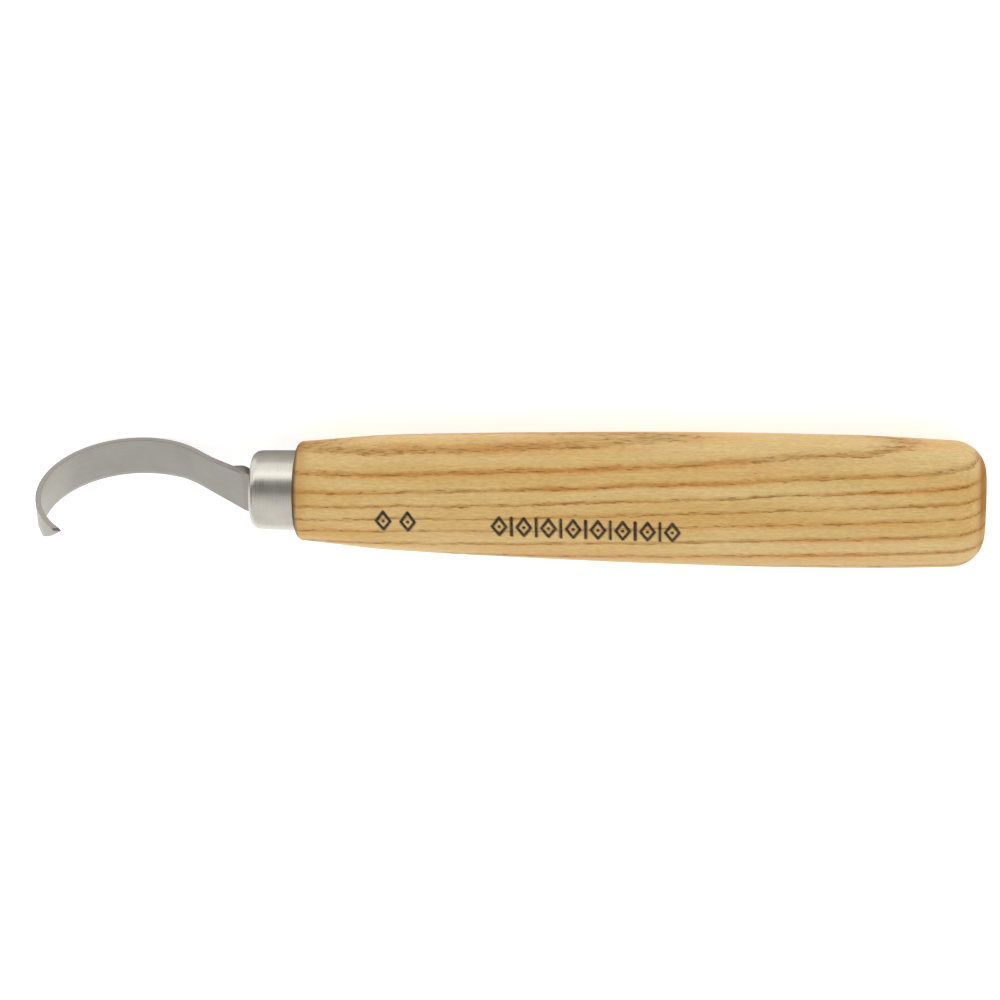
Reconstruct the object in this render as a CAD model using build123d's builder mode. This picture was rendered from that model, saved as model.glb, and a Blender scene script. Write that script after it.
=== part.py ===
from build123d import *
import os
from math import asin, atan2, cos, degrees, hypot, pi, sin, tan

# A hook knife for carving bowls and spoons, lying on its back.
# +X runs along the handle from the hook to the butt, +Y is the spine side of the blade,
# and +Z is the side that the hook opens to. The origin is under the middle, on the table.

# ---- driving dimensions, in millimetres ----
handle_length = 120.6
handle_width = 24.6              # across Y at the widest point
handle_thickness = 20.8          # across Z at the widest point
front_edge_radius = 1.2
butt_edge_radius = 5.6

ferrule_length = 8.0
ferrule_diameter = 14.2
ferrule_front_diameter = 13.9
ferrule_wall = 0.7
ferrule_edge_radius = 1.7
tenon_gap = 0.05                 # film of glue between the tenon and the ferrule

hook_radius = 16.35              # to the middle of the strip's thickness
hook_thickness = 0.95
hook_width = 7.3
hook_ahead = 20.3                # the hook's centre, in front of the ferrule
tip_angle = 50.5                 # how far the strip curls past its foremost point
back_bevel_width = 1.9           # ground on the back of the hook
face_bevel_width = 0.7           # honed on the face inside it
face_bevel_depth = 0.3
edge_thickness = 0.2             # left at the cutting edge

root_top = 0.2                   # faces of the root and tang, from the handle's axis
root_bottom = -2.3
root_spine_side = 1.7            # half widths where the root enters the ferrule
root_edge_side = 5.0
root_ahead = 1.1                 # level root in front of the ferrule, before the neck rises
tang_spine_side = 1.6            # and inside the handle
tang_edge_side = 3.3
tang_depth = 48.0                # from the front of the ferrule to the tang's end
tang_tip_half_width = 0.8
slot_gap = 0.1

bore_radius = 2.9
bore_depth = 50.0

# Across the handle at distances from its front, as parts of its greatest width and thickness.
handle_sections = [
    (0.0, 0.720, 0.790),
    (6.0, 0.770, 0.835),
    (15.2, 0.850, 0.890),
    (33.0, 0.915, 0.940),
    (57.0, 0.975, 0.982),
    (69.0, 0.993, 0.995),
    (81.0, 1.000, 1.000),
    (93.0, 0.996, 0.996),
    (103.0, 0.984, 0.984),
    (120.6, 0.920, 0.930),
]

# ---- places worked out from them ----
axis_z = handle_thickness / 2
outer_radius = hook_radius + hook_thickness / 2
inner_radius = hook_radius - hook_thickness / 2
hook_rise = outer_radius - axis_z
overall_length = hook_ahead + outer_radius + ferrule_length + handle_length
butt_x = overall_length / 2
handle_x = butt_x - handle_length
ferrule_x = handle_x - ferrule_length
hook_x = ferrule_x - hook_ahead
hook_z = axis_z + hook_rise
root_top_z = axis_z + root_top
root_bottom_z = axis_z + root_bottom
tang_end_x = ferrule_x + tang_depth
tang_y = (tang_spine_side - tang_edge_side) / 2
tang_z = (root_top_z + root_bottom_z) / 2
ferrule_radius = ferrule_diameter / 2
tenon_radius = ferrule_radius - ferrule_wall - tenon_gap
tenon_x = ferrule_x + ferrule_wall + 2 * slot_gap
half_width = hook_width / 2

# The neck's middle line runs from the root, on the axis, to touch the hook's circle.
neck_reach = hook_ahead - root_ahead
neck_slope = asin(hook_radius / hypot(neck_reach, hook_rise)) - atan2(hook_rise, neck_reach)
neck_angle = degrees(neck_slope) - 90
curl = neck_angle + 180 + tip_angle


def at_level(start, level):
    """Where a line up the neck's slope from a point reaches a level."""
    return (start.X + (level - start.Y) / tan(neck_slope), level)


# ---- blade: hook, neck, root and tang are one forging ----
with BuildPart() as blade:
    # The side view of the bent strip, with the thicker root and tang behind it.
    with BuildSketch(Plane.XZ) as side_view:
        with BuildLine():
            back = CenterArc((hook_x, hook_z), outer_radius, neck_angle, -curl)
            face = CenterArc((hook_x, hook_z), inner_radius, neck_angle, -curl)
            Line(back @ 1, face @ 1)
            Polyline(
                back @ 0,
                at_level(back @ 0, root_bottom_z),
                (tang_end_x, root_bottom_z),
                (tang_end_x, root_top_z),
                at_level(face @ 0, root_top_z),
                face @ 0,
            )
        make_face()
    extrude(amount=handle_width / 2, both=True)

    # Its outline from above: a slight waist in the neck, shoulders at the ferrule, a tapered tang.
    with BuildSketch(Plane.XY) as top_view:
        with BuildLine():
            spine = Spline(
                (ferrule_x - 15.0, half_width),
                (ferrule_x - 7.5, half_width - 0.4),
                (ferrule_x - 2.0, half_width - 0.05),
                tangents=[(1, 0), (1, 0)],
            )
            RadiusArc(spine @ 1, (ferrule_x, root_spine_side), half_width - root_spine_side)
            Polyline(
                (ferrule_x, root_spine_side),
                (tenon_x, tang_spine_side),
                (tang_end_x - 10.0, tang_spine_side),
                (tang_end_x, tang_y + tang_tip_half_width),
                (tang_end_x, tang_y - tang_tip_half_width),
                (tang_end_x - 10.0, -tang_edge_side),
                (tenon_x, -tang_edge_side),
                (ferrule_x + ferrule_wall / 2, -root_edge_side),
                (ferrule_x, -root_edge_side),
            )
            edge = Spline(
                (ferrule_x, -root_edge_side),
                (ferrule_x - 9.5, -half_width + 0.1),
                (ferrule_x - 16.0, -half_width),
                tangents=[(-1, 0.25), (-1, 0)],
            )
            Polyline(
                edge @ 1,
                (-butt_x - 1, -half_width),
                (-butt_x - 1, half_width),
                spine @ 0,
            )
        make_face()
    extrude(amount=hook_z + outer_radius, mode=Mode.INTERSECT)

    # The tip, seen from the front: the cutting side sweeps across to a small round nose on the spine.
    with BuildSketch(Plane.YZ.offset(-butt_x - 1)) as front_view:
        with BuildLine():
            sweep_up = ThreePointArc(
                (-half_width - 0.2, hook_z + 0.6),
                (0.2, hook_z + 9.3),
                (half_width - 0.75, hook_z + 11.8),
            )
            nose = TangentArc(
                sweep_up @ 1,
                (half_width + 0.1, hook_z + 11.3),
                tangent=sweep_up % 1,
            )
            Polyline(
                nose @ 1,
                (half_width + 1, hook_z + 11.3),
                (half_width + 1, hook_z + outer_radius),
                (-half_width - 1, hook_z + outer_radius),
                (-half_width - 1, hook_z + 0.6),
                sweep_up @ 0,
            )
        make_face()
    extrude(amount=outer_radius, mode=Mode.SUBTRACT)

    # The cutting bevels, on the back and the face, go all round the hook and run out up the neck.
    with BuildSketch(Plane.XY.offset(hook_z)) as bevels:
        with Locations((hook_x, 0)):
            with BuildLine():
                Polyline(
                    (outer_radius + 0.2, -half_width + back_bevel_width),
                    (outer_radius, -half_width + back_bevel_width),
                    (inner_radius + face_bevel_depth + edge_thickness, -half_width),
                    (inner_radius + face_bevel_depth + edge_thickness, -half_width - 0.2),
                    (outer_radius + 0.2, -half_width - 0.2),
                    close=True,
                )
            make_face()
            with BuildLine():
                Polyline(
                    (inner_radius - 0.2, -half_width + face_bevel_width),
                    (inner_radius, -half_width + face_bevel_width),
                    (inner_radius + face_bevel_depth, -half_width),
                    (inner_radius + face_bevel_depth, -half_width - 0.2),
                    (inner_radius - 0.2, -half_width - 0.2),
                    close=True,
                )
            make_face()
    revolve(axis=Axis((hook_x, 0, hook_z), (0, 1, 0)), mode=Mode.SUBTRACT)

# ---- ferrule: a drawn cup with a slot for the root ----
with BuildPart() as ferrule:
    with BuildSketch(Plane.XZ) as wall:
        with BuildLine():
            outside = FilletPolyline(
                (ferrule_x, axis_z),
                (ferrule_x, axis_z + ferrule_front_diameter / 2),
                (handle_x, axis_z + ferrule_radius),
                radius=ferrule_edge_radius,
            )
            inside = FilletPolyline(
                (handle_x, axis_z + ferrule_radius - ferrule_wall),
                (ferrule_x + ferrule_wall, axis_z + ferrule_radius - ferrule_wall),
                (ferrule_x + ferrule_wall, axis_z),
                radius=ferrule_edge_radius - ferrule_wall,
            )
            Line(outside @ 1, inside @ 0)
            Line(inside @ 1, outside @ 0)
        make_face()
    revolve(axis=Axis((0, 0, axis_z), (1, 0, 0)))
    with BuildSketch(Plane.YZ.offset(ferrule_x - 1)):
        with Locations(((root_spine_side - root_edge_side) / 2, tang_z)):
            Rectangle(
                root_spine_side + root_edge_side + 2 * slot_gap,
                root_top - root_bottom + 2 * slot_gap,
            )
    extrude(amount=ferrule_wall + 2, mode=Mode.SUBTRACT)

# ---- handle: an oval bar that swells towards the hand, with its tenon and its bore ----
with BuildPart() as handle:
    for distance, width_part, thickness_part in handle_sections:
        with BuildSketch(Plane.YZ.offset(handle_x + distance)):
            with Locations((0, axis_z)):
                Ellipse(handle_width * width_part / 2, handle_thickness * thickness_part / 2)
    loft()
    fillet(handle.faces().sort_by(Axis.X)[-1].edges(), butt_edge_radius)
    fillet(handle.faces().sort_by(Axis.X)[0].edges(), front_edge_radius)
    with BuildSketch(Plane.YZ.offset(tenon_x)):
        with Locations((0, axis_z)):
            Circle(tenon_radius)
    extrude(amount=handle_x - tenon_x + 1)
    chamfer(handle.faces().sort_by(Axis.X)[0].edges(), ferrule_edge_radius / 2)
    with BuildSketch(Plane.YZ.offset(tenon_x)):
        with Locations((tang_y, tang_z)):
            Circle(bore_radius)
    extrude(amount=ferrule_x + bore_depth - tenon_x, mode=Mode.SUBTRACT)

# ---- tang adhesive: fills the bore round the tang ----
with BuildPart() as tang_adhesive:
    with BuildSketch(Plane.YZ.offset(tenon_x)):
        with Locations((tang_y, tang_z)):
            Circle(bore_radius)
    extrude(amount=ferrule_x + bore_depth - tenon_x)
    add(blade.part, mode=Mode.SUBTRACT)

# ---- labels and files ----
blade.part.label = "blade"
ferrule.part.label = "ferrule"
handle.part.label = "handle"
tang_adhesive.part.label = "tang_adhesive"

os.makedirs("parts", exist_ok=True)
export_step(blade.part, "parts/blade.step")
export_step(ferrule.part, "parts/ferrule.step")
export_step(handle.part, "parts/handle.step")
export_step(tang_adhesive.part, "parts/tang_adhesive.step")
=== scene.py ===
from math import asin, atan2, cos, hypot, pi, radians, sin, sqrt, tan

import bmesh
import bpy
from bpy.props import FloatProperty, FloatVectorProperty, IntProperty, PointerProperty
from mathutils import Matrix, Vector


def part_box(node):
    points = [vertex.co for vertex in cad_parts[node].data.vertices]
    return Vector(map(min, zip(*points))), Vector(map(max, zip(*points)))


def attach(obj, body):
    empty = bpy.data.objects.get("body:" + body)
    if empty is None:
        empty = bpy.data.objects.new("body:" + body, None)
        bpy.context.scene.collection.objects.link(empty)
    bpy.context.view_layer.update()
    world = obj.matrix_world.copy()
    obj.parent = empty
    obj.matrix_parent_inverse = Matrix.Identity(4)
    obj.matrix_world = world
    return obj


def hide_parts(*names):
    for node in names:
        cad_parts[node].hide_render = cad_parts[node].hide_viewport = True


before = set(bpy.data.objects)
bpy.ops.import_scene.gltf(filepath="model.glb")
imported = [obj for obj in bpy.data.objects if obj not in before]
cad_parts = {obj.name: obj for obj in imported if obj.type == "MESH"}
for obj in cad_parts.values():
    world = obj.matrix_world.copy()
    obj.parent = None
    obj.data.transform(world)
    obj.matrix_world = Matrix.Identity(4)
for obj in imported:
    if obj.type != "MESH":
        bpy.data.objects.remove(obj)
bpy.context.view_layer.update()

bl_info = {
    "name": "Hook Knife",
    "version": (1, 0, 0),
    "blender": (4, 5, 0),
    "location": "View3D > Sidebar > Hook Knife",
    "description": "Builds the blade, ferrule and ash handle of a carving hook knife round its frame",
    "category": "Object",
}

MM = 0.001
BODY = "root"

# Places, in millimetres, read from the frame.
BLADE_LOW, BLADE_HIGH = (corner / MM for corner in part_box("blade"))
FERRULE_LOW, FERRULE_HIGH = (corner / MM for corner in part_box("ferrule"))
HANDLE_LOW, HANDLE_HIGH = (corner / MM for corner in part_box("handle"))
BORE_LOW, BORE_HIGH = (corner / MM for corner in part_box("tang_adhesive"))
AXIS_Z = (FERRULE_LOW.z + FERRULE_HIGH.z) / 2
FERRULE_X = FERRULE_LOW.x
HANDLE_X = FERRULE_HIGH.x
BUTT_X = HANDLE_HIGH.x
TENON_X = HANDLE_LOW.x

# The blade's level root and its tang: their low and high sides across the knife (Y) and in height (Z).
ROOT_LOW_Y, ROOT_HIGH_Y = -5.0, 1.7
ROOT_LOW_Z, ROOT_HIGH_Z = AXIS_Z - 2.3, AXIS_Z + 0.2
TANG_LOW_Y, TANG_HIGH_Y = -3.3, 1.6
TANG_END_Y = (-1.65, -0.05)           # what the taper leaves at the tang's end
SLOT_GAP = 0.1                        # room round the root in the ferrule's slot
SLOT_X = FERRULE_X + 0.2              # where the root starts to narrow to the tang, inside the slot
BEVEL_END, BEVEL_FADE = -13.0, 6.0    # from the ferrule's front: where the bevels start to run out
HONED_DEPTH, GROUND_DEPTH = 0.30, 0.45    # how much metal each bevel takes off at the cutting edge
SPINE_CORNER = 0.10                   # rounding of the spine's two corners

# Stretches of the handle, behind its front, where close rings of points carry the ornament.
PAIR_STRETCH = (13.4, 22.6)
ROW_STRETCH = (34.6, 69.8)
STAMPED_HALF_WIDTH = 2.9
FINE_PITCH, COARSE_PITCH = 0.16, 0.477    # between points round the handle
TENON_GAP, TENON_CHAMFER = 0.75, 0.85     # under the ferrule's outside, and at the tenon's front
FERRULE_LIP = 0.18                        # rounding of the ferrule's back edge

# How the handle swells: distance behind its front, part of its width, part of its thickness.
HANDLE_SECTIONS = (
    (0.0, 0.720, 0.790),
    (6.0, 0.770, 0.835),
    (15.2, 0.850, 0.890),
    (33.0, 0.915, 0.940),
    (57.0, 0.975, 0.982),
    (69.0, 0.993, 0.995),
    (81.0, 1.000, 1.000),
    (93.0, 0.996, 0.996),
    (103.0, 0.984, 0.984),
    (120.6, 0.920, 0.930),
)

# Where each year's growth starts, in millimetres across the layers of the wood.
GROWTH_RINGS = (-16.6, -13.3, -9.5, -5.7, -2.4, 0.25, 2.7, 5.1, 7.85, 10.4, 13.2, 15.6)
LAYER_LIE = (-0.052, 1.0, -0.119)     # how the layers lie along X, Y and Z
# How the layers stray: slow wander, two sorts of waves and a fine wobble. Each has its size in
# millimetres, its scale along the grain and across it, and a seed.
LAYER_WAVES = ((0.9, 0.022, 0.05, 3.1), (0.55, 0.09, 0.16, 8.4), (0.42, 0.5, 1.1, 5.7),
               (0.36, 1.1, 2.4, 1.9))

# The sky from low on the edge side, over the top, to low on the spine side: place and brightness.
SKY = ((0.0, 1.0), (0.42, 1.0), (0.58, 0.7), (0.66, 0.24), (0.84, 0.22), (0.90, 1.9), (1.0, 1.9))
# Soft panels: name, place in metres, width in metres and power in watts.
PANELS = (("overhead", (0.0, -0.1, 0.9), 1.0, 3.2), ("spine_side", (0.0, 0.8, 0.45), 0.8, 0.4))
# The card: how far ahead of the ferrule, its near and far sides (Y) and its height off the floor.
CARD_AHEAD, CARD_NEAR, CARD_FAR, CARD_RISE = 7.0, 0.5, 26.0, 0.4
FLOOR_DROP = 0.05                     # so that the floor clears what lies on it


def srgb(code):
    """An sRGB hex colour as linear red, green, blue."""
    parts = [int(code[i:i + 2], 16) / 255 for i in (1, 3, 5)]
    return tuple(p / 12.92 if p <= 0.04045 else ((p + 0.055) / 1.055) ** 2.4 for p in parts)


def size(name, default, description, subtype="NONE"):
    return FloatProperty(name=name, default=default, description=description, subtype=subtype)


def colour(name, code, description):
    return FloatVectorProperty(name=name, default=srgb(code), description=description,
                               subtype="COLOR", size=3, min=0.0, max=1.0)


class HandleSettings(bpy.types.PropertyGroup):
    width: size("Width", HANDLE_HIGH.y - HANDLE_LOW.y, "Greatest width, mm")
    thickness: size("Thickness", HANDLE_HIGH.z - HANDLE_LOW.z, "Greatest thickness, mm")
    front_round: size("Front edge", 1.2, "Rounding of the edge behind the ferrule, mm")
    butt_round: size("Butt edge", 5.6, "Rounding of the edge of the butt, mm")
    relief: size("Grain relief", 0.035, "How far the soft early wood is sanded below the rest, mm")
    light: colour("Late wood", "#CFB278", "Pale, dense wood between the rings")
    warm: colour("Warm wood", "#C59E5C", "Honey streaks in the pale wood")
    ring: colour("Early wood", "#A0722E", "Open-pored wood at the start of each ring")
    orange: colour("Stain", "#C4833A", "Orange stain beside some rings")
    pore: colour("Pores", "#765224", "Open vessels, filled with dust and oil")
    end_grain: colour("End grain", "#A06A28", "Wood cut across, where oil soaks in")
    # Dark brown for the front edge beside the ferrule: partly a burnt edge, partly painted shadow
    # standing in for the gap at the joint.
    burn_and_gap_shadow: colour("Burnished edge", "#4E2C12", "Edge rubbed against the ferrule")


class StampSettings(bpy.types.PropertyGroup):
    depth: size("Depth", 0.11, "How deep the ornament is pressed, mm")
    stroke: size("Stroke", 0.62, "Width of a stamped line, mm")
    height: size("Height", 3.7, "Height of the ornament, mm")
    pitch: size("Pitch", 4.3, "From one lozenge to the next, mm")
    pair_at: size("Pair", 18.3, "Middle of the pair, behind the front of the handle, mm")
    row_at: size("Row", 51.5, "Middle of the row, behind the front of the handle, mm")
    row_turn: size("Row turn", radians(-0.4), "How far the row is out of line", "ANGLE")
    row_count: IntProperty(name="Row count", default=8, description="Lozenges in the row")
    ink: colour("Ink", "#0E0A06", "Brown-black stamping ink")


class FerruleSettings(bpy.types.PropertyGroup):
    diameter: size("Diameter", FERRULE_HIGH.y - FERRULE_LOW.y, "Diameter at the back, mm")
    front_diameter: size("Front diameter", 13.9, "Diameter at the front, mm")
    wall: size("Wall", 0.7, "Thickness of the metal, mm")
    front_round: size("Front edge", 1.7, "Rounding of the front edge, mm")
    metal: colour("Nickel", "#C6C2B8", "Satin nickel plate")


class BladeSettings(bpy.types.PropertyGroup):
    radius: size("Hook radius", 16.35, "To the middle of the strip, mm")
    thickness: size("Thickness", 0.95, "Of the hook, mm")
    width: size("Width", 7.3, "Of the hook, mm")
    ahead: size("Reach", 20.3, "From the ferrule to the hook's centre, mm")
    root_reach: size("Root", 1.1, "Level root in front of the ferrule, mm")
    tip_rise: size("Tip", 11.9, "How far the tip stands above the hook's centre, mm")
    face_bevel: size("Face bevel", 0.7, "Width of the honed bevel inside the hook, mm")
    back_bevel: size("Back bevel", 1.9, "Width of the ground bevel outside the hook, mm")
    steel: colour("Steel", "#A8A59E", "Ground and polished carbon steel")
    spine: colour("Spine", "#948F88", "Forged skin left on the spine")


class AdhesiveSettings(bpy.types.PropertyGroup):
    resin: colour("Resin", "#B99A5E", "Cured epoxy resin")


class StageSettings(bpy.types.PropertyGroup):
    floor: colour("Floor", "#C6C6C5", "Pale paper on a light table")
    card: colour("Card", "#CDCDCA", "Grey card that the ferrule reflects")
    tilt: size("Tilt", radians(34.9), "Camera leans from straight above to the spine side", "ANGLE")
    yaw: size("Yaw", radians(4.5), "Camera turns towards the butt", "ANGLE")
    roll: size("Roll", radians(1.17), "Camera rolls about its own line of sight", "ANGLE")
    distance: size("Distance", 704.0, "From the camera to what it looks at, mm")
    view_width: size("View width", 175.7, "Width of what it sees there, mm")
    look_x: size("Look at", -1.88, "Along the knife's axis, mm")
    look_drop: size("Look below", 0.956, "Below the knife's axis in the view, mm")


# ---------------------------------------------------------------- helpers

def add(tree, kind, inputs=None, out=0, **settings):
    """Adds a node with its settings, values and links, and returns one of its outputs."""
    node = tree.nodes.new(kind)
    for name, value in settings.items():
        setattr(node, name, value)
    for name, value in (inputs or {}).items():
        if isinstance(value, bpy.types.NodeSocket):
            tree.links.new(value, node.inputs[name])
        else:
            node.inputs[name].default_value = value
    return node if out is None else node.outputs[out]


def smooth_through(points, x):
    """A smooth curve through rows of (x, value, value ...), read at x."""
    last = len(points) - 1
    i = max(0, min(last - 1, sum(1 for p in points[1:-1] if p[0] <= x)))
    p0, p1 = points[max(i - 1, 0)], points[i]
    p2, p3 = points[i + 1], points[min(i + 2, last)]
    span = p2[0] - p1[0]
    t = (x - p1[0]) / span
    values = []
    for k in range(1, len(p1)):
        slope1 = (p2[k] - p0[k]) / (p2[0] - p0[0]) * span
        slope2 = (p3[k] - p1[k]) / (p3[0] - p1[0]) * span
        values.append((2 * t ** 3 - 3 * t ** 2 + 1) * p1[k] + (t ** 3 - 2 * t ** 2 + t) * slope1
                      + (3 * t ** 2 - 2 * t ** 3) * p2[k] + (t ** 3 - t ** 2) * slope2)
    return values


def steps(low, high, pitch):
    """Even steps from low to, and not with, high, about a pitch apart."""
    count = max(1, round(abs(high - low) / pitch))
    return [low + (high - low) * i / count for i in range(count)]


def new_object(name, bm):
    """An object in the scene, with the mesh that was built in bm."""
    mesh = bpy.data.meshes.new(name)
    bm.to_mesh(mesh)
    bm.free()
    piece = bpy.data.objects.new(name, mesh)
    bpy.context.scene.collection.objects.link(piece)
    return piece


def ring_mesh(name, rings, extras=None):
    """A closed skin over rings of equally many points; a ring of one point closes an end."""
    bm = bmesh.new()
    layers = {key: bm.verts.layers.float.new(key) for key in (extras or {})}
    rows = []
    for i, ring in enumerate(rings):
        row = [bm.verts.new(Vector(p) * MM) for p in ring]
        for key, layer in layers.items():
            for vert in row:
                vert[layer] = extras[key][i]
        rows.append(row)
    for row, following in zip(rows, rows[1:]):
        count = max(len(row), len(following))
        for k in range(count):
            n = (k + 1) % count
            if len(row) == 1:
                bm.faces.new((row[0], following[k], following[n]))
            elif len(following) == 1:
                bm.faces.new((row[k], following[0], row[n]))
            else:
                bm.faces.new((row[k], following[k], following[n], row[n]))
    bmesh.ops.recalc_face_normals(bm, faces=bm.faces)
    for face in bm.faces:
        face.smooth = True
    return new_object(name, bm)


def bake(piece):
    """Turns a piece and its live modifiers into a plain mesh."""
    depsgraph = bpy.context.evaluated_depsgraph_get()
    mesh = bpy.data.meshes.new_from_object(piece.evaluated_get(depsgraph))
    piece.modifiers.clear()
    old = piece.data
    piece.data = mesh
    bpy.data.meshes.remove(old)
    mesh.name = piece.name


def finish_piece(piece, node, crease=None):
    """Puts a piece in its CAD node's place, with sharp edges where it bends more than a crease."""
    if crease is not None:
        piece.data.set_sharp_from_angle(angle=crease)
    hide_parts(node)
    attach(piece, BODY)


def new_material(name):
    material = bpy.data.materials.new(name)
    material.use_nodes = True
    material.node_tree.nodes.clear()
    return material, material.node_tree


def finish_material(tree, shader, height=None, distance=0.05):
    """Ends a material in its shader, roughened by a height in millimetres."""
    if height is not None:
        bump = add(tree, "ShaderNodeBump", {"Height": height, "Distance": distance * MM, "Strength": 1.0})
        tree.links.new(bump, shader.inputs["Normal"])
    add(tree, "ShaderNodeOutputMaterial", {"Surface": shader.outputs[0]}, out=None)


# ---------------------------------------------------------------- wood

def place_in_wood(tree, position):
    """A position in metres as millimetres from the handle's axis."""
    return add(tree, "ShaderNodeVectorMath",
               {0: position, 1: (1 / MM,) * 3, 2: (0.0, 0.0, -AXIS_Z)}, operation="MULTIPLY_ADD")


def stretched_noise(tree, place, along, across, detail=2.0, seed=0.0):
    """Noise drawn out along the grain; along and across are features per millimetre."""
    stretched = add(tree, "ShaderNodeVectorMath",
                    {0: place, 1: (along, across, across), 2: (seed, seed, seed)},
                    operation="MULTIPLY_ADD")
    return add(tree, "ShaderNodeTexNoise", {"Vector": stretched, "Scale": 1.0, "Detail": detail})


def layer_depth(tree, place):
    """Depth across the wood's layers, in millimetres, at a place in millimetres.

    It makes the same nodes in a material and in a geometry tree, so the relief follows the colour."""
    depth = add(tree, "ShaderNodeVectorMath", {0: place, 1: LAYER_LIE}, 1, operation="DOT_PRODUCT")
    for amount, along, across, seed in LAYER_WAVES:
        wave = stretched_noise(tree, place, along, across, 1.0, seed)
        swing = add(tree, "ShaderNodeMath", {0: wave, 1: 0.5}, operation="SUBTRACT")
        depth = add(tree, "ShaderNodeMath", {0: swing, 1: amount, 2: depth}, operation="MULTIPLY_ADD")
    return depth


def ring_phase(tree, depth):
    """Counts the growth rings: the whole part is the ring, the rest how far it has grown."""
    low, high = GROWTH_RINGS[0], GROWTH_RINGS[-1]
    count = len(GROWTH_RINGS) - 1
    part = add(tree, "ShaderNodeMapRange", {"Value": depth, "From Min": low, "From Max": high})
    curve = add(tree, "ShaderNodeFloatCurve", {"Value": part}, out=None)
    line = curve.mapping.curves[0]
    for i, start in enumerate(GROWTH_RINGS[1:-1], 1):
        line.points.new((start - low) / (high - low), i / count)
    for point in line.points:
        point.handle_type = "VECTOR"
    curve.mapping.update()
    return add(tree, "ShaderNodeMath", {0: curve.outputs[0], 1: float(count)}, operation="MULTIPLY")


def early_wood(tree, phase):
    """1 in the band of large pores that each ring starts with, fading to 0 in the late wood."""
    grown = add(tree, "ShaderNodeMath", {0: phase}, operation="FRACT")
    rise = add(tree, "ShaderNodeMapRange", {"Value": grown, "From Min": 0.0, "From Max": 0.10},
               interpolation_type="SMOOTHSTEP")
    fall = add(tree, "ShaderNodeMapRange",
               {"Value": grown, "From Min": 0.13, "From Max": 0.42, "To Min": 1.0, "To Max": 0.0},
               interpolation_type="SMOOTHSTEP")
    return add(tree, "ShaderNodeMath", {0: rise, 1: fall}, operation="MULTIPLY")


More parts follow.
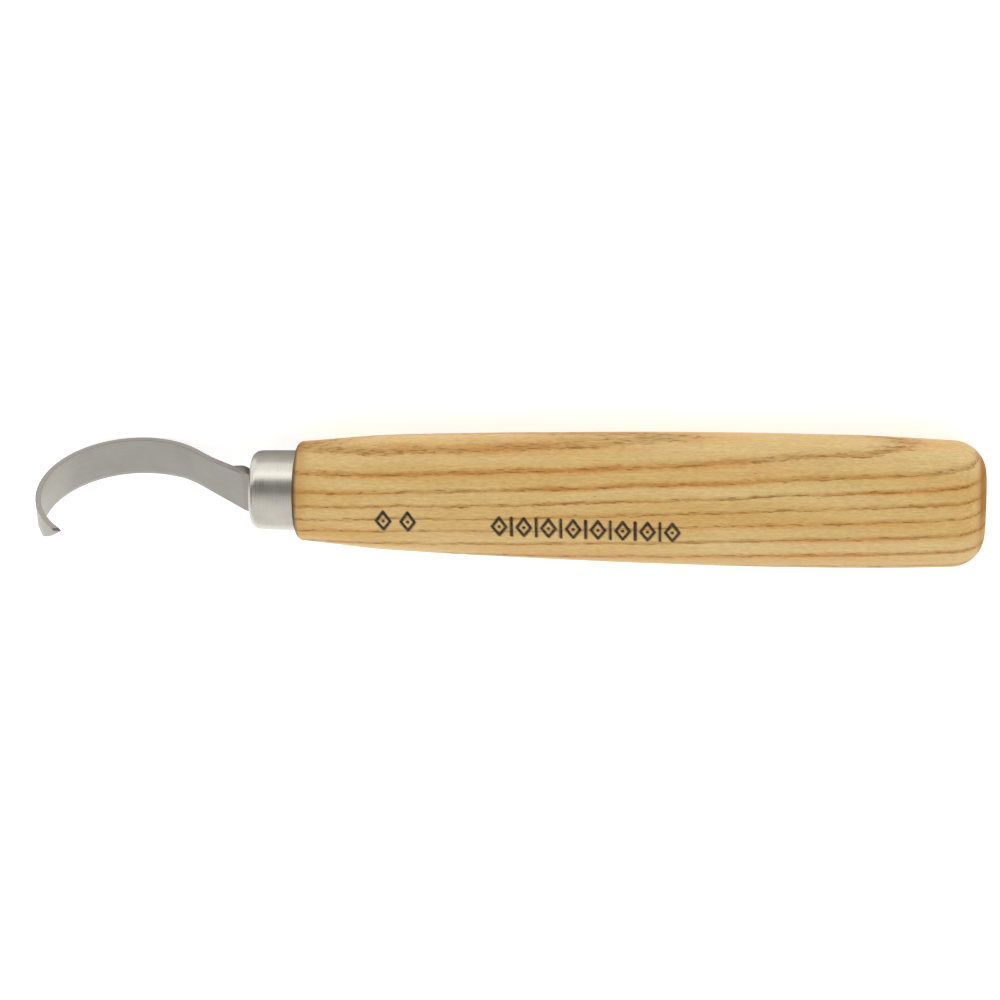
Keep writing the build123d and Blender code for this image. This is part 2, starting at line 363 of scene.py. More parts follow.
def ash_wood(wood, stamp):
    """Ash, sanded along the grain and oiled. It shows as straw and honey wood with a satin sheen,
    crossed by brown lines of open pores where each ring starts, and is dull and darker at its ends."""
    material, tree = new_material("ash_sanded_and_oiled")
    position = add(tree, "ShaderNodeTexCoord", out=3)
    place = place_in_wood(tree, position)
    depth = layer_depth(tree, place)
    phase = ring_phase(tree, depth)
    early = early_wood(tree, phase)

    ring_number = add(tree, "ShaderNodeMath", {0: phase}, operation="FLOOR")
    ring_own = add(tree, "ShaderNodeTexWhiteNoise", {"W": ring_number}, noise_dimensions="1D")
    ring_strength = add(tree, "ShaderNodeMapRange", {"Value": ring_own, "To Min": 0.65, "To Max": 1.0})

    # The pale wood drifts between straw and honey, with fine fibres along it.
    drift = stretched_noise(tree, place, 0.02, 0.22, 3.0, 11.0)
    drift = add(tree, "ShaderNodeMapRange", {"Value": drift, "From Min": 0.35, "From Max": 0.68})
    wood_colour = add(tree, "ShaderNodeMix", {0: drift, 6: (*wood.light, 1), 7: (*wood.warm, 1)}, 2,
                      data_type="RGBA")
    # Orange stain follows some stretches of the rings, before and after their first pores.
    grown = add(tree, "ShaderNodeMath", {0: phase}, operation="FRACT")
    from_ring = add(tree, "ShaderNodeMath", {0: grown, 1: 0.12}, operation="SUBTRACT")
    from_ring = add(tree, "ShaderNodeMath", {0: from_ring, 1: 0.0, 2: 1.0}, operation="WRAP")
    far = add(tree, "ShaderNodeMath", {0: from_ring, 1: 0.5}, operation="SUBTRACT")
    far = add(tree, "ShaderNodeMath", {0: far}, operation="ABSOLUTE")
    near_ring = add(tree, "ShaderNodeMapRange", {"Value": far, "From Min": 0.22, "From Max": 0.48,
                                                 "To Min": 0.05, "To Max": 1.0})
    stain = stretched_noise(tree, place, 0.030, 0.16, 3.0, 23.0)
    stain = add(tree, "ShaderNodeMapRange", {"Value": stain, "From Min": 0.40, "From Max": 0.66})
    stain = add(tree, "ShaderNodeMath", {0: stain, 1: near_ring}, operation="MULTIPLY")
    stain = add(tree, "ShaderNodeMath", {0: stain, 1: 0.9}, operation="MULTIPLY")
    wood_colour = add(tree, "ShaderNodeMix", {0: stain, 6: wood_colour, 7: (*wood.orange, 1)}, 2,
                      data_type="RGBA")

    # Early wood: a soft brown line, fainter here and there.
    broken = stretched_noise(tree, place, 0.16, 1.1, 3.0, 31.0)
    broken = add(tree, "ShaderNodeMapRange", {"Value": broken, "From Min": 0.34, "From Max": 0.58,
                                              "To Min": 0.4, "To Max": 1.0})
    line = add(tree, "ShaderNodeMath", {0: early, 1: ring_strength}, operation="MULTIPLY")
    line_broken = add(tree, "ShaderNodeMath", {0: line, 1: broken}, operation="MULTIPLY")
    line_share = add(tree, "ShaderNodeMath", {0: line_broken, 1: 0.75}, operation="MULTIPLY")
    wood_colour = add(tree, "ShaderNodeMix", {0: line_share, 6: wood_colour, 7: (*wood.ring, 1)}, 2,
                      data_type="RGBA")

    # Pores: dashes about 0.3 mm wide and 2 mm long, thick in the early wood.
    dashes = stretched_noise(tree, place, 0.45, 3.6, 1.0, 47.0)
    rare = add(tree, "ShaderNodeMapRange", {"Value": early, "To Min": 0.77, "To Max": 0.55})
    over = add(tree, "ShaderNodeMath", {0: dashes, 1: rare}, operation="SUBTRACT")
    pores = add(tree, "ShaderNodeMapRange", {"Value": over, "From Min": 0.0, "From Max": 0.05},
                interpolation_type="SMOOTHSTEP")
    pore_share = add(tree, "ShaderNodeMath", {0: pores, 1: 0.55}, operation="MULTIPLY")
    wood_colour = add(tree, "ShaderNodeMix", {0: pore_share, 6: wood_colour, 7: (*wood.pore, 1)}, 2,
                      data_type="RGBA")

    # Short flecks and long fibres lighten and darken the whole surface a little.
    flecks = stretched_noise(tree, place, 0.9, 3.2, 2.0, 71.0)
    fleck_shade = add(tree, "ShaderNodeMapRange", {"Value": flecks, "From Min": 0.3, "From Max": 0.7,
                                                   "To Min": 0.90, "To Max": 1.09})
    wood_colour = add(tree, "ShaderNodeMix", {0: 1.0, 6: wood_colour, 7: fleck_shade}, 2,
                      data_type="RGBA", blend_type="MULTIPLY")
    fibres = stretched_noise(tree, place, 0.12, 5.0, 4.0, 59.0)
    shade = add(tree, "ShaderNodeMapRange", {"Value": fibres, "From Min": 0.3, "From Max": 0.7,
                                             "To Min": 0.93, "To Max": 1.06})
    wood_colour = add(tree, "ShaderNodeMix", {0: 1.0, 6: wood_colour, 7: shade}, 2,
                      data_type="RGBA", blend_type="MULTIPLY")

    # Ends and edges: the end grain darker on the spine side; the front edge next to the ferrule darkened,
    # partly a burnt edge and partly painted shadow of the gap at the joint; then the ink of the ornament.
    across = add(tree, "ShaderNodeSeparateXYZ", {0: place}, out=1)
    uneven = add(tree, "ShaderNodeMapRange", {"Value": flecks, "From Min": 0.3, "From Max": 0.6,
                                              "To Min": 0.88, "To Max": 1.0})
    for name, tint, least, most in (("end_grain", wood.end_grain, 0.2, 0.95),
                                    ("burn_and_gap_shadow_share", wood.burn_and_gap_shadow, 0.9, 0.9), ("ink", stamp.ink, 1.0, 1.0)):
        share = add(tree, "ShaderNodeAttribute", attribute_name=name, out=2)
        strength = add(tree, "ShaderNodeMapRange", {"Value": across, "From Min": -2.5, "From Max": 3.5,
                                                    "To Min": least, "To Max": most})
        share = add(tree, "ShaderNodeMath", {0: share, 1: uneven}, operation="MULTIPLY")
        share = add(tree, "ShaderNodeMath", {0: share, 1: strength}, operation="MULTIPLY")
        wood_colour = add(tree, "ShaderNodeMix", {0: share, 6: wood_colour, 7: (*tint, 1)}, 2,
                          data_type="RGBA")

    # Satin between the pores, dull inside them and on the end grain.
    roughness = add(tree, "ShaderNodeMapRange", {"Value": pores, "To Min": 0.46, "To Max": 0.75})
    end_share = add(tree, "ShaderNodeAttribute", attribute_name="end_grain", out=2)
    roughness = add(tree, "ShaderNodeMath", {0: roughness, 1: end_share}, operation="MAXIMUM")
    height = add(tree, "ShaderNodeMath", {0: pores, 1: -1.0, 2: fibres}, operation="MULTIPLY_ADD")
    shader = add(tree, "ShaderNodeBsdfPrincipled",
                 {"Base Color": wood_colour, "Roughness": roughness, "IOR": 1.48,
                  "Specular IOR Level": 0.3}, out=None)
    finish_material(tree, shader, height, 0.03)
    return material


def handle_skin(wood):
    """Rings of points over the handle, its tenon and its bore, with what each ring is."""
    width, thickness = wood.width / 2, wood.thickness / 2
    length = BUTT_X - HANDLE_X

    # Angles round the oval, closer together on the side that is stamped.
    stamped = asin(STAMPED_HALF_WIDTH / width)
    turns = steps(pi / 2 - stamped, pi / 2 + stamped, FINE_PITCH / width)
    turns += steps(pi / 2 + stamped, 5 * pi / 2 - stamped, COARSE_PITCH / width)

    def oval(x, half_width, half_thickness, middle=(0.0, AXIS_Z)):
        return [(x, middle[0] + half_width * cos(a), middle[1] + half_thickness * sin(a)) for a in turns]

    def swell(distance):
        part_width, part_thickness = smooth_through(HANDLE_SECTIONS, distance)
        return part_width * width, part_thickness * thickness

    rings, skin, end_grain, burn_and_gap_shadow_share = [], [], [], []

    def put(ring, is_skin=0.0, is_end=0.0, is_burn_and_gap_shadow=0.0):
        rings.append(ring)
        skin.append(is_skin)
        end_grain.append(is_end)
        burn_and_gap_shadow_share.append(is_burn_and_gap_shadow)

    bore_radius = (BORE_HIGH.y - BORE_LOW.y) / 2
    bore_middle = ((BORE_HIGH.y + BORE_LOW.y) / 2, (BORE_HIGH.z + BORE_LOW.z) / 2)
    put([(BORE_HIGH.x, *bore_middle)])
    for x in (BORE_HIGH.x, TENON_X):
        put(oval(x, bore_radius, bore_radius, bore_middle))
    tenon_radius = FERRULE_HIGH.y - TENON_GAP
    put(oval(TENON_X, tenon_radius - TENON_CHAMFER, tenon_radius - TENON_CHAMFER))
    put(oval(TENON_X + TENON_CHAMFER, tenon_radius, tenon_radius))
    # The ring where the tenon meets the front carries the full dark band: burnt edge and painted joint
    # shadow.
    put(oval(HANDLE_X, tenon_radius, tenon_radius), is_burn_and_gap_shadow=1.0)

    # Rounded front edge, darkened next to the ferrule: partly a burnt edge, partly painted shadow of the
    # gap at the joint.
    front = wood.front_round
    for i in range(9):
        turn = pi / 2 * i / 8
        x = front * (1 - cos(turn))
        w, t = swell(x)
        inset = front * (1 - sin(turn))
        put(oval(HANDLE_X + x, w - inset, t - inset), 0.0, 0.4, min(1.0, max(0.0, (6.5 - i) / 3)))

    # The long skin, with close rings where the ornament is.
    butt = wood.butt_round
    stations = []
    for low, high, pitch in ((front + 0.2, PAIR_STRETCH[0], 0.5), (*PAIR_STRETCH, 0.22),
                             (PAIR_STRETCH[1], ROW_STRETCH[0], 0.5), (*ROW_STRETCH, 0.22),
                             (ROW_STRETCH[1], length - butt, 0.55)):
        stations += steps(low, high, pitch)
    for x in stations:
        fade = max(0.0, 1.0 - (x - front) / 2.0)
        put(oval(HANDLE_X + x, *swell(x)), min(1.0, (x - front) / 2), fade * 0.4)

    # Rounded butt, where the grain relief fades out and the end grain begins.
    for i in range(25):
        turn = pi / 2 * i / 24
        x = length - butt + butt * sin(turn)
        w, t = swell(x)
        inset = butt * (1 - cos(turn))
        put(oval(HANDLE_X + x, w - inset, t - inset), 1.0 - i / 24, min(1.0, max(0.0, (i - 11) / 4)))
    w, t = swell(length)
    for part in (0.8, 0.55, 0.3):
        put(oval(BUTT_X, (w - butt) * part, (t - butt) * part), is_end=1.0)
    put([(BUTT_X, 0.0, AXIS_Z)], is_end=1.0)
    return rings, {"skin": skin, "end_grain": end_grain, "burn_and_gap_shadow_share": burn_and_gap_shadow_share}


def stamp_tree(wood, stamp, material):
    """Presses a pair and a row of lozenges into the wood, inks them, and lowers the early wood."""
    tree = bpy.data.node_groups.new("pressed_ornament", "GeometryNodeTree")
    face = tree.interface
    face.new_socket(name="Geometry", in_out="INPUT", socket_type="NodeSocketGeometry")
    sizes = {"Depth": stamp.depth, "Stroke": stamp.stroke, "Height": stamp.height,
             "Pitch": stamp.pitch, "Relief": wood.relief}
    identifiers = {}
    for name in sizes:
        identifiers[name] = face.new_socket(name=name, in_out="INPUT",
                                            socket_type="NodeSocketFloat").identifier
    face.new_socket(name="Geometry", in_out="OUTPUT", socket_type="NodeSocketGeometry")
    given = add(tree, "NodeGroupInput", out=None).outputs

    position = add(tree, "GeometryNodeInputPosition")
    place = place_in_wood(tree, position)

    # The ornament's lines lie flat, in millimetres: lozenges with upright bars between them.
    lozenge_width = add(tree, "ShaderNodeMath", {0: given["Pitch"], 1: 0.56}, operation="MULTIPLY")
    half_height = add(tree, "ShaderNodeMath", {0: given["Height"], 1: 0.5}, operation="MULTIPLY")
    lozenge = add(tree, "GeometryNodeCurvePrimitiveQuadrilateral",
                  {"Width": lozenge_width, "Bottom Height": half_height, "Top Height": half_height},
                  mode="KITE")
    tiny = add(tree, "ShaderNodeMath", {0: lozenge_width, 1: 0.02}, operation="MULTIPLY")
    dot = add(tree, "GeometryNodeCurvePrimitiveQuadrilateral",
              {"Width": tiny, "Bottom Height": tiny, "Top Height": tiny}, mode="KITE")
    top = add(tree, "ShaderNodeCombineXYZ", {"Y": half_height})
    foot = add(tree, "ShaderNodeVectorMath", {0: top, "Scale": -1.0}, operation="SCALE")
    bar = add(tree, "GeometryNodeCurvePrimitiveLine", {"Start": foot, "End": top})
    unit = add(tree, "GeometryNodeJoinGeometry", out=None)
    for part in (lozenge, dot):
        tree.links.new(part, unit.inputs[0])

    lines = add(tree, "GeometryNodeJoinGeometry", out=None)
    # Each group: middle, distance off the axis, turn, lozenges, and whether bars stand between.
    groups = ((stamp.pair_at, 0.3, 0.0, 2, False),
              (stamp.row_at, -0.1, stamp.row_turn, stamp.row_count, True))
    for middle, off_axis, turn, count, with_bars in groups:
        step = add(tree, "ShaderNodeCombineXYZ", {"X": given["Pitch"]})
        back = add(tree, "ShaderNodeVectorMath", {0: step, "Scale": -(count - 1) / 2}, operation="SCALE")
        points = add(tree, "GeometryNodeMeshLine",
                     {"Count": count, "Start Location": back, "Offset": step}, mode="OFFSET")
        copies = [add(tree, "GeometryNodeInstanceOnPoints",
                      {"Points": points, "Instance": unit.outputs[0]})]
        if with_bars:
            half_step = add(tree, "ShaderNodeVectorMath", {0: step, "Scale": 0.5}, operation="SCALE")
            between = add(tree, "ShaderNodeVectorMath", {0: back, 1: half_step}, operation="ADD")
            gaps = add(tree, "GeometryNodeMeshLine",
                       {"Count": count - 1, "Start Location": between, "Offset": step}, mode="OFFSET")
            copies.append(add(tree, "GeometryNodeInstanceOnPoints", {"Points": gaps, "Instance": bar}))
        for copy in copies:
            put = add(tree, "GeometryNodeTransform",
                      {"Geometry": copy, "Translation": (HANDLE_X + middle, off_axis, 0.0),
                       "Rotation": (0.0, 0.0, turn)})
            tree.links.new(put, lines.inputs[0])
    real_lines = add(tree, "GeometryNodeRealizeInstances", {"Geometry": lines.outputs[0]})
    wires = add(tree, "GeometryNodeCurveToMesh", {"Curve": real_lines})

    # The wood near a line, on the top side only, is pressed down and inked.
    flat = add(tree, "ShaderNodeVectorMath", {0: place, 1: (1.0, 1.0, 0.0)}, operation="MULTIPLY")
    near = add(tree, "GeometryNodeProximity", {"Geometry": wires, "Sample Position": flat}, 1,
               target_element="EDGES")
    half_stroke = add(tree, "ShaderNodeMath", {0: given["Stroke"], 1: 0.5}, operation="MULTIPLY")
    over = add(tree, "ShaderNodeMath", {0: near, 1: half_stroke}, operation="SUBTRACT")
    pressed = add(tree, "ShaderNodeMapRange",
                  {"Value": over, "From Min": -0.10, "From Max": 0.08, "To Min": 1.0, "To Max": 0.0},
                  interpolation_type="SMOOTHSTEP")
    height = add(tree, "ShaderNodeSeparateXYZ", {0: place}, 2)
    on_top = add(tree, "ShaderNodeMath", {0: height, 1: 5.0}, operation="GREATER_THAN")
    ink = add(tree, "ShaderNodeMath", {0: pressed, 1: on_top}, operation="MULTIPLY")

    early = early_wood(tree, ring_phase(tree, layer_depth(tree, place)))
    skin = add(tree, "GeometryNodeInputNamedAttribute", {"Name": "skin"}, data_type="FLOAT")
    relief = add(tree, "ShaderNodeMath", {0: early, 1: given["Relief"]}, operation="MULTIPLY")
    relief = add(tree, "ShaderNodeMath", {0: relief, 1: skin}, operation="MULTIPLY")
    drop = add(tree, "ShaderNodeMath", {0: ink, 1: given["Depth"], 2: relief}, operation="MULTIPLY_ADD")
    drop = add(tree, "ShaderNodeMath", {0: drop, 1: -MM}, operation="MULTIPLY")
    normal = add(tree, "GeometryNodeInputNormal")
    offset = add(tree, "ShaderNodeVectorMath", {0: normal, "Scale": drop}, operation="SCALE")

    inked = add(tree, "GeometryNodeStoreNamedAttribute",
                {"Geometry": given["Geometry"], "Name": "ink", "Value": ink},
                data_type="FLOAT", domain="POINT")
    moved = add(tree, "GeometryNodeSetPosition", {"Geometry": inked, "Offset": offset})
    real = add(tree, "GeometryNodeRealizeInstances", {"Geometry": moved})
    covered = add(tree, "GeometryNodeSetMaterial", {"Geometry": real, "Material": material})
    add(tree, "NodeGroupOutput", {"Geometry": covered}, out=None)
    return tree, {identifiers[name]: value for name, value in sizes.items()}


# ---------------------------------------------------------------- metal

def satin_metal(name, tint, roughness, lines_along, lines_across, depth, spine_tint=None):
    """A metal with fine lines, which draw its highlights out, and a faint cloudiness of colour.

    Along and across are lines per millimetre. With a spine tint they follow the blade's strip."""
    material, tree = new_material(name)
    position = add(tree, "ShaderNodeTexCoord", out=3)
    place = place_in_wood(tree, position)
    source = place
    if spine_tint:
        source = add(tree, "ShaderNodeAttribute", attribute_name="strip", out=1)
    scaled = add(tree, "ShaderNodeVectorMath", {0: source, 1: (lines_along, lines_across, lines_across)},
                 operation="MULTIPLY")
    lines = add(tree, "ShaderNodeTexNoise", {"Vector": scaled, "Scale": 1.0, "Detail": 3.0})
    cloud = add(tree, "ShaderNodeTexNoise", {"Vector": place, "Scale": 0.25, "Detail": 3.0})
    mixed = add(tree, "ShaderNodeMath", {0: lines, 1: cloud}, operation="ADD")
    shade = add(tree, "ShaderNodeMapRange", {"Value": mixed, "From Min": 0.7, "From Max": 1.3,
                                             "To Min": 0.89, "To Max": 1.08})
    colour_out = add(tree, "ShaderNodeMix", {0: 1.0, 6: (*tint, 1), 7: shade}, 2,
                     data_type="RGBA", blend_type="MULTIPLY")
    rough = add(tree, "ShaderNodeMapRange", {"Value": mixed, "From Min": 0.7, "From Max": 1.3,
                                             "To Min": roughness - 0.05, "To Max": roughness + 0.06})
    if spine_tint:
        share = add(tree, "ShaderNodeAttribute", attribute_name="spine", out=2)
        colour_out = add(tree, "ShaderNodeMix", {0: share, 6: colour_out, 7: (*spine_tint, 1)}, 2,
                         data_type="RGBA")
    shader = add(tree, "ShaderNodeBsdfPrincipled",
                 {"Base Color": colour_out, "Roughness": rough, "Metallic": 1.0}, out=None)
    finish_material(tree, shader, lines, depth)
    return material


def cured_resin(resin):
    """Epoxy resin, cast in the bore: amber and glossy where it squeezed out."""
    material, tree = new_material("epoxy_resin_cast")
    position = add(tree, "ShaderNodeTexCoord", out=3)
    place = place_in_wood(tree, position)
    cloud = add(tree, "ShaderNodeTexNoise", {"Vector": place, "Scale": 0.8, "Detail": 2.0})
    shade = add(tree, "ShaderNodeMapRange", {"Value": cloud, "To Min": 0.8, "To Max": 1.15})
    colour_out = add(tree, "ShaderNodeMix", {0: 1.0, 6: (*resin, 1), 7: shade}, 2,
                     data_type="RGBA", blend_type="MULTIPLY")
    shader = add(tree, "ShaderNodeBsdfPrincipled",
                 {"Base Color": colour_out, "Roughness": 0.3, "IOR": 1.55}, out=None)
    finish_material(tree, shader, cloud, 0.05)
    return material


def ferrule_skin(metal):
    """Rings of the cup, from the middle of its front, round its back edge, to the inside."""
    around = [2 * pi * k / 192 for k in range(192)]
    back, front = metal.diameter / 2, metal.front_diameter / 2
    length = HANDLE_X - FERRULE_X
    lip = FERRULE_LIP
    profile = [(0.0, r) for r in (1.2, 3.0, 4.4)]
    for i in reversed(range(13)):
        turn = pi / 2 * i / 12
        profile.append((metal.front_round * (1 - sin(turn)),
                        front - metal.front_round * (1 - cos(turn))))
    for x in steps(metal.front_round + 0.3, length - lip, 0.35):
        profile.append((x, front + (back - front) * x / length))
    for i in range(5):
        turn = pi / 2 * i / 4
        profile.append((length - lip * (1 - sin(turn)), back - lip * (1 - cos(turn))))
    inside = back - metal.wall
    profile.append((length, inside))
    profile.append((metal.front_round, inside))
    bend = metal.front_round - metal.wall
    for i in range(5):
        turn = pi / 2 * i / 4
        profile.append((metal.front_round - bend * sin(turn), inside - bend * (1 - cos(turn))))
    profile += [(metal.wall, r) for r in (4.0, 2.0)]
    rings = [[(FERRULE_X, 0.0, AXIS_Z)]]
    for x, r in profile:
        rings.append([(FERRULE_X + x, r * cos(a), AXIS_Z + r * sin(a)) for a in around])
    rings.append([(FERRULE_X + metal.wall, 0.0, AXIS_Z)])
    return rings


# ---------------------------------------------------------------- blade

def strip_section(top, low, thickness, face_width, back_width, honed, ground):
    """Points round the strip: across it, through it from back to face, and whether on the spine."""
    corner = min(SPINE_CORNER, (top - low) / 3)
    back_foot, face_foot = low + back_width, low + face_width
    rows = [(back_foot + (top - corner - back_foot) * i / 10, 0.0, 0.0) for i in range(11)]
    for i in range(1, 6):
        turn = pi / 2 * i / 5
        rows.append((top - corner * (1 - sin(turn)), corner / thickness * (1 - cos(turn)), 1.0))
    for i in range(5):
        turn = pi / 2 * i / 5
        rows.append((top - corner * (1 - cos(turn)), 1 - corner / thickness * (1 - sin(turn)), 1.0))
    rows += [(top - corner - (top - corner - face_foot) * i / 10, 1.0, 0.0) for i in range(11)]
    rows += [(low, 1.0 - honed, 0.0), (low, ground, 0.0)]
    return rows


def blade_skin(steel):
    """Rings of points round the strip, from the tip, round the hook and down the neck to the tang."""
    outer = steel.radius + steel.thickness / 2
    inner = steel.radius - steel.thickness / 2
    middle = (FERRULE_X - steel.ahead, BLADE_LOW.z + outer)
    rise = middle[1] - AXIS_Z
    reach = steel.ahead - steel.root_reach
    slope = asin(steel.radius / hypot(reach, rise)) - atan2(rise, reach)
    half = steel.width / 2

    # Pairs of points, on the back and on the face, along the side view.
    pairs = []
    neck_turn = slope - pi / 2
    for level in steps(steel.tip_rise, 0.0, 0.3):
        pairs.append((Vector((middle[0] - sqrt(outer ** 2 - level ** 2), middle[1] + level)),
                      Vector((middle[0] - sqrt(inner ** 2 - level ** 2), middle[1] + level))))
    for turn in steps(-pi, neck_turn, radians(1.2)):
        direction = Vector((cos(turn), sin(turn)))
        pairs.append((Vector(middle) + outer * direction, Vector(middle) + inner * direction))
    direction = Vector((cos(neck_turn), sin(neck_turn)))
    back_start = Vector(middle) + outer * direction
    face_start = Vector(middle) + inner * direction

    def at_level(start, level):
        return Vector((start.x + (level - start.y) / tan(slope), level))

    back_bend = at_level(back_start, ROOT_LOW_Z)
    face_bend = at_level(face_start, ROOT_HIGH_Z)
    for t in steps(0.0, 1.0, 1 / 40):
        pairs.append((back_start.lerp(back_bend, t), face_start.lerp(face_bend, t)))
    slot_back, slot_face = Vector((SLOT_X, ROOT_LOW_Z)), Vector((SLOT_X, ROOT_HIGH_Z))
    for t in steps(0.0, 1.0, 1 / 16):
        pairs.append((back_bend.lerp(slot_back, t), face_bend.lerp(slot_face, t)))
    for x in steps(SLOT_X, BLADE_HIGH.x, 2.0) + [BLADE_HIGH.x]:
        pairs.append((Vector((x, ROOT_LOW_Z)), Vector((x, ROOT_HIGH_Z))))

    # Outline from above, by distance from the ferrule's front, and the sweep of the cutting edge
    # and the round of the nose, by height over the hook's centre.
    spine_line = ((-60.0, half), (-15.0, half), (-11.0, half - 0.15), (-7.5, half - 0.4),
                  (-4.0, half - 0.2), (-2.0, half - 0.05), (-1.3, half - 0.2), (-0.5, half - 0.8),
                  (0.0, ROOT_HIGH_Y), (0.9, TANG_HIGH_Y), (38.0, TANG_HIGH_Y),
                  (48.0, TANG_END_Y[1]), (60.0, TANG_END_Y[1]))
    edge_line = ((-60.0, -half), (-16.0, -half), (-12.5, -half + 0.07), (-9.5, -half + 0.1),
                 (-4.0, -half - 0.55), (0.0, ROOT_LOW_Y), (0.35, ROOT_LOW_Y), (0.9, TANG_LOW_Y),
                 (38.0, TANG_LOW_Y), (48.0, TANG_END_Y[0]), (60.0, TANG_END_Y[0]))
    nose = ((-20.0, half), (11.2, half), (11.45, half - 0.01), (11.65, half - 0.1), (11.8, half - 0.23),
            (11.9, half - 0.43), (30.0, half - 0.43))
    sweep = ((-20.0, -half), (1.5, -half), (2.0, -3.57), (4.0, -2.96), (6.0, -2.06), (8.0, -0.83),
             (9.65, 0.51), (10.8, 1.68), (11.8, half - 0.75), (11.9, half - 0.48), (30.0, half - 0.48))

    rings, strip, spine = [], [], []
    along = 0.0
    previous = None
    for back, face in pairs:
        x = back.x - FERRULE_X
        top = smooth_through(spine_line, x)[0]
        low = smooth_through(edge_line, x)[0]
        over = back.y - middle[1]
        if back.x < middle[0]:
            low = max(low, smooth_through(sweep, over)[0])
            top = min(top, smooth_through(nose, over)[0])
        thickness = (face - back).length
        grind = min(1.0, max(0.0, 1.0 - (x - BEVEL_END) / BEVEL_FADE))
        room = min(1.0, max(0.0, (top - low) / 3.0))
        face_width, back_width = steel.face_bevel * room, steel.back_bevel * room
        honed, ground = HONED_DEPTH * grind / thickness, GROUND_DEPTH * grind / thickness
        section = strip_section(top, low, thickness, face_width, back_width, honed, ground)
        midway = (back + face) / 2
        if previous is not None:
            along += (midway - previous).length
        previous = midway
        ring = []
        for y, share, on_spine in section:
            point = back.lerp(face, share)
            ring.append((point.x, y, point.y))
            strip.append((along, y, share))
            spine.append(on_spine)
        rings.append(ring)
    return rings, strip, spine


# ---------------------------------------------------------------- operators

class HOOKKNIFE_OT_handle(bpy.types.Operator):
    """Builds the oval ash handle with its grain relief and pressed ornament"""
    bl_idname = "hookknife.handle"
    bl_label = "Handle"

    def execute(self, context):
        wood, stamp = context.scene.hook_handle, context.scene.hook_stamp
        rings, extras = handle_skin(wood)
        handle = ring_mesh("ash_handle", rings, extras)
        material = ash_wood(wood, stamp)
        tree, values = stamp_tree(wood, stamp, material)
        modifier = handle.modifiers.new("pressed_ornament", "NODES")
        modifier.node_group = tree
        for identifier, value in values.items():
            modifier[identifier] = value
        bake(handle)
        finish_piece(handle, "handle")
        return {"FINISHED"}


class HOOKKNIFE_OT_ferrule(bpy.types.Operator):
    """Builds the drawn nickel cup with the slot that the root passes through"""
    bl_idname = "hookknife.ferrule"
    bl_label = "Ferrule"

    def execute(self, context):
        metal = context.scene.hook_ferrule
        ferrule = ring_mesh("nickel_ferrule", ferrule_skin(metal))
        low = Vector((FERRULE_X - 2.0, ROOT_LOW_Y - SLOT_GAP, ROOT_LOW_Z - SLOT_GAP)) * MM
        high = Vector((FERRULE_X + 2.0, ROOT_HIGH_Y + SLOT_GAP, ROOT_HIGH_Z + SLOT_GAP)) * MM
        bm = bmesh.new()
        bmesh.ops.create_cube(bm, size=1.0)
        bm.transform(Matrix.Translation((low + high) / 2) @ Matrix.Diagonal((*(high - low), 1.0)))
        cutter = new_object("slot_cutter", bm)
        slot = ferrule.modifiers.new("slot", "BOOLEAN")
        slot.object = cutter
        slot.solver = "EXACT"
        bake(ferrule)
        bpy.data.objects.remove(cutter)
        # Nickel plate over a drawn and turned cup: bright, with lines round it that soften the glint.
        material = satin_metal("nickel_plate_turned", metal.metal, 0.30, 9.0, 0.15, 0.004)
        ferrule.data.materials.clear()
        ferrule.data.materials.append(material)
        finish_piece(ferrule, "ferrule", radians(40))
        return {"FINISHED"}


class HOOKKNIFE_OT_blade(bpy.types.Operator):
    """Builds the hook, neck, root and tang as one forging"""
    bl_idname = "hookknife.blade"
    bl_label = "Blade"

    def execute(self, context):
        steel = context.scene.hook_blade
        rings, strip, spine = blade_skin(steel)
        count = len(rings[0])
        first, last = rings[0], rings[-1]
        ends = [[tuple(sum(p[i] for p in ring) / count for i in range(3))] for ring in (first, last)]
        blade = ring_mesh("forged_blade", [ends[0], *rings, ends[1]])
        rows = [strip[0], *strip, strip[-1]]
        along = blade.data.attributes.new("strip", "FLOAT_VECTOR", "POINT")
        along.data.foreach_set("vector", [value for row in rows for value in row])
        forged = blade.data.attributes.new("spine", "FLOAT", "POINT")
        forged.data.foreach_set("value", [0.0, *spine, 0.0])
        # Carbon steel ground along the strip: a dull, even grey with faint lines along it.
        material = satin_metal("carbon_steel_ground", steel.steel, 0.42, 0.05, 8.0, 0.003, steel.spine)
        blade.data.materials.append(material)
        finish_piece(blade, "blade", radians(20))
        return {"FINISHED"}


class HOOKKNIFE_OT_adhesive(bpy.types.Operator):
    """Gives the bed of resin round the tang its material"""
    bl_idname = "hookknife.adhesive"
    bl_label = "Tang adhesive"

    def execute(self, context):
        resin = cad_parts["tang_adhesive"]
        resin.data.materials.clear()
        resin.data.materials.append(cured_resin(context.scene.hook_adhesive.resin))
        return {"FINISHED"}


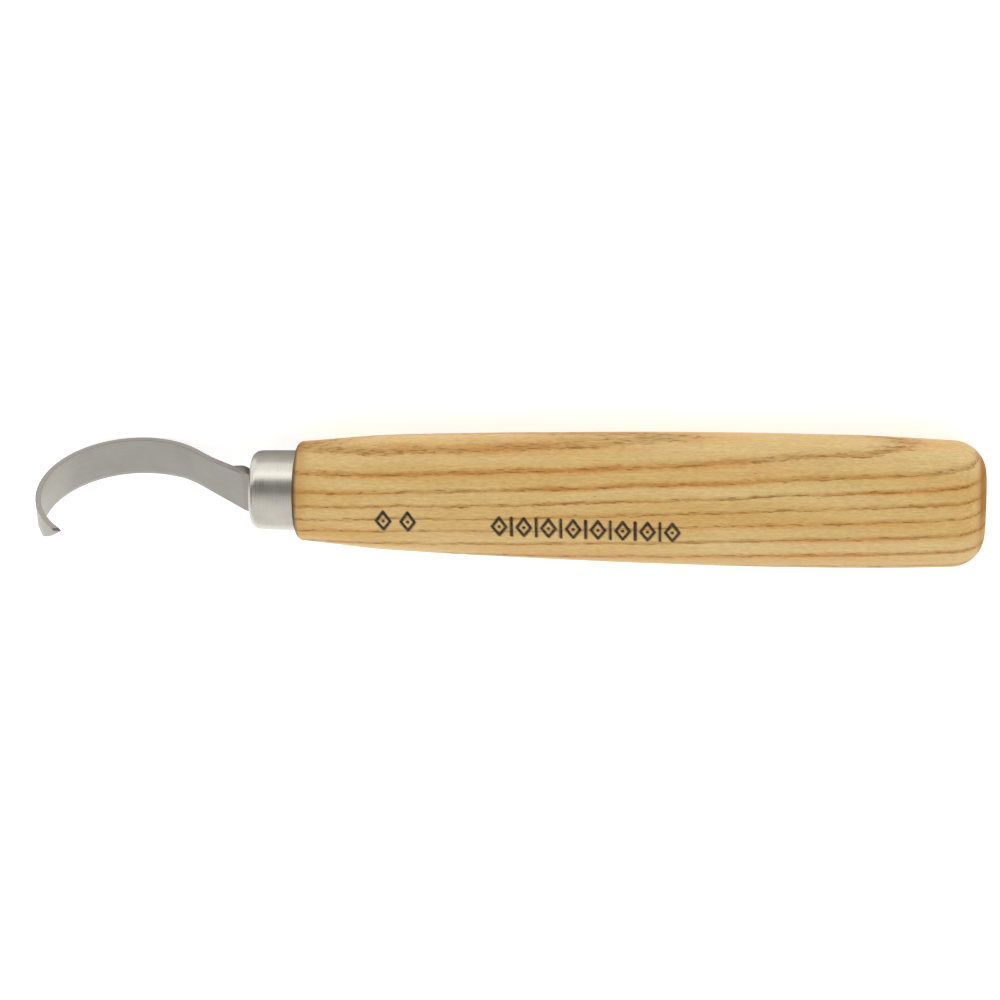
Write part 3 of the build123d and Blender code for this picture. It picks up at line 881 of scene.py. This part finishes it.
class HOOKKNIFE_OT_stage(bpy.types.Operator):
    """Lays the pale floor and sets up the soft lights and the camera"""
    bl_idname = "hookknife.stage"
    bl_label = "Stage"

    def execute(self, context):
        scene, stage = context.scene, context.scene.hook_stage
        scene.view_settings.view_transform = "Standard"
        self.lay_floor(stage)
        self.light_sky(scene)
        self.hang_lights()
        self.lay_card(stage)
        self.place_camera(scene, stage)
        return {"FINISHED"}

    def lay_floor(self, stage):
        bm = bmesh.new()
        bmesh.ops.create_grid(bm, x_segments=8, y_segments=8, size=1.6)
        floor = new_object("floor", bm)
        floor.location.z = -FLOOR_DROP * MM
        # Matt paper lit from below as well: an even white that swallows the shadows.
        material, tree = new_material("paper_on_light_table")
        shader = add(tree, "ShaderNodeBsdfPrincipled",
                     {"Base Color": (*stage.floor, 1), "Roughness": 0.9,
                      "Emission Color": (1.0, 1.0, 1.0, 1.0), "Emission Strength": 0.72}, out=None)
        finish_material(tree, shader)
        floor.data.materials.append(material)

    def light_sky(self, scene):
        """Bright low and behind the spine, darker round the camera, pale elsewhere."""
        world = bpy.data.worlds.new("studio")
        scene.world = world
        world.use_nodes = True
        tree = world.node_tree
        tree.nodes.clear()
        direction = add(tree, "ShaderNodeTexCoord", out=0)
        # Angle from straight up, signed towards the spine side.
        parts = add(tree, "ShaderNodeSeparateXYZ", {0: direction}, out=None).outputs
        lean = add(tree, "ShaderNodeMath", {0: parts[1], 1: parts[2]}, operation="ARCTAN2")
        sky = add(tree, "ShaderNodeMapRange", {"Value": lean, "From Min": -pi / 2, "From Max": pi / 2})
        ramp = add(tree, "ShaderNodeValToRGB", {0: sky}, out=None)
        elements = ramp.color_ramp.elements
        while len(elements) < len(SKY):
            elements.new(0.5)
        for element, (at, level) in zip(elements, SKY):
            element.position = at
            element.color = (level / 2, level / 2, level / 2, 1)
        # The ramp holds half of each brightness, and the far end, ahead of the hook, is dim.
        side = add(tree, "ShaderNodeMapRange", {"Value": parts[0], "From Min": -1.0, "From Max": -0.85,
                                                "To Min": 0.3, "To Max": 2.0})
        background = add(tree, "ShaderNodeBackground", {"Color": ramp.outputs[0], "Strength": side})
        add(tree, "ShaderNodeOutputWorld", {"Surface": background}, out=None)

    def hang_lights(self):
        """Large soft panels that brighten the wood and the floor but don't show in the metal."""
        for name, place, width, power in PANELS:
            data = bpy.data.lights.new(name, "AREA")
            data.size = width
            data.energy = power
            lamp = bpy.data.objects.new(name, data)
            lamp.location = place
            lamp.rotation_euler = Vector(place).to_track_quat("Z", "Y").to_euler()
            lamp.visible_glossy = False
            bpy.context.scene.collection.objects.link(lamp)

    def lay_card(self, stage):
        """Lays a grey card under the ferrule's spine side, seen only in the metal, as a grey edge."""
        front, back = FERRULE_X - CARD_AHEAD, HANDLE_X
        corners = ((front, CARD_NEAR), (back, CARD_NEAR), (back, CARD_FAR), (front, CARD_FAR))
        bm = bmesh.new()
        bm.faces.new([bm.verts.new(Vector((x, y, CARD_RISE)) * MM) for x, y in corners])
        card = new_object("grey_card", bm)
        # Matt card: it gives the bright metal a soft grey edge against the white floor.
        material, tree = new_material("card_matt")
        shader = add(tree, "ShaderNodeBsdfPrincipled",
                     {"Base Color": (*stage.card, 1), "Roughness": 0.9}, out=None)
        finish_material(tree, shader)
        card.data.materials.append(material)
        card.visible_camera = False
        card.visible_diffuse = False
        card.visible_shadow = False

    def place_camera(self, scene, stage):
        tilt, yaw, roll = stage.tilt, stage.yaw, stage.roll
        back = Vector((sin(yaw), cos(yaw) * sin(tilt), cos(yaw) * cos(tilt)))
        level = Vector((cos(yaw), -sin(yaw) * sin(tilt), -sin(yaw) * cos(tilt)))
        upright = Vector((0.0, cos(tilt), -sin(tilt)))
        right = level * cos(roll) + upright * sin(roll)
        up = upright * cos(roll) - level * sin(roll)
        target = Vector((stage.look_x, 0.0, AXIS_Z)) - up * stage.look_drop
        place = (target + back * stage.distance) * MM
        data = bpy.data.cameras.new("camera")
        data.sensor_width = 36.0
        data.lens = data.sensor_width * stage.distance / stage.view_width
        data.clip_start = 0.01
        camera = bpy.data.objects.new("camera", data)
        camera.matrix_world = Matrix((
            (right.x, up.x, back.x, place.x),
            (right.y, up.y, back.y, place.y),
            (right.z, up.z, back.z, place.z),
            (0.0, 0.0, 0.0, 1.0)))
        scene.collection.objects.link(camera)
        scene.camera = camera


class HOOKKNIFE_PT_panel(bpy.types.Panel):
    """Sizes and colours of the hook knife, and a button for each piece"""
    bl_idname = "HOOKKNIFE_PT_panel"
    bl_label = "Hook Knife"
    bl_space_type = "VIEW_3D"
    bl_region_type = "UI"
    bl_category = "Hook Knife"

    def draw(self, context):
        for key, operator in PIECES:
            box = self.layout.box()
            settings = getattr(context.scene, key)
            for name in settings.__annotations__:
                box.prop(settings, name)
            if operator:
                box.operator(operator.bl_idname)


SETTINGS = {
    "hook_handle": HandleSettings,
    "hook_stamp": StampSettings,
    "hook_ferrule": FerruleSettings,
    "hook_blade": BladeSettings,
    "hook_adhesive": AdhesiveSettings,
    "hook_stage": StageSettings,
}
PIECES = (
    ("hook_stamp", None),
    ("hook_handle", HOOKKNIFE_OT_handle),
    ("hook_ferrule", HOOKKNIFE_OT_ferrule),
    ("hook_blade", HOOKKNIFE_OT_blade),
    ("hook_adhesive", HOOKKNIFE_OT_adhesive),
    ("hook_stage", HOOKKNIFE_OT_stage),
)
CLASSES = (*SETTINGS.values(), *(operator for _, operator in PIECES if operator), HOOKKNIFE_PT_panel)


def register():
    for cls in CLASSES:
        bpy.utils.register_class(cls)
    for key, group in SETTINGS.items():
        setattr(bpy.types.Scene, key, PointerProperty(type=group))


def unregister():
    for key in SETTINGS:
        delattr(bpy.types.Scene, key)
    for cls in reversed(CLASSES):
        bpy.utils.unregister_class(cls)


def main():
    register()
    for _, operator in PIECES:
        if operator:
            getattr(bpy.ops.hookknife, operator.bl_idname.split(".")[1])()


if __name__ == "__main__":
    main()
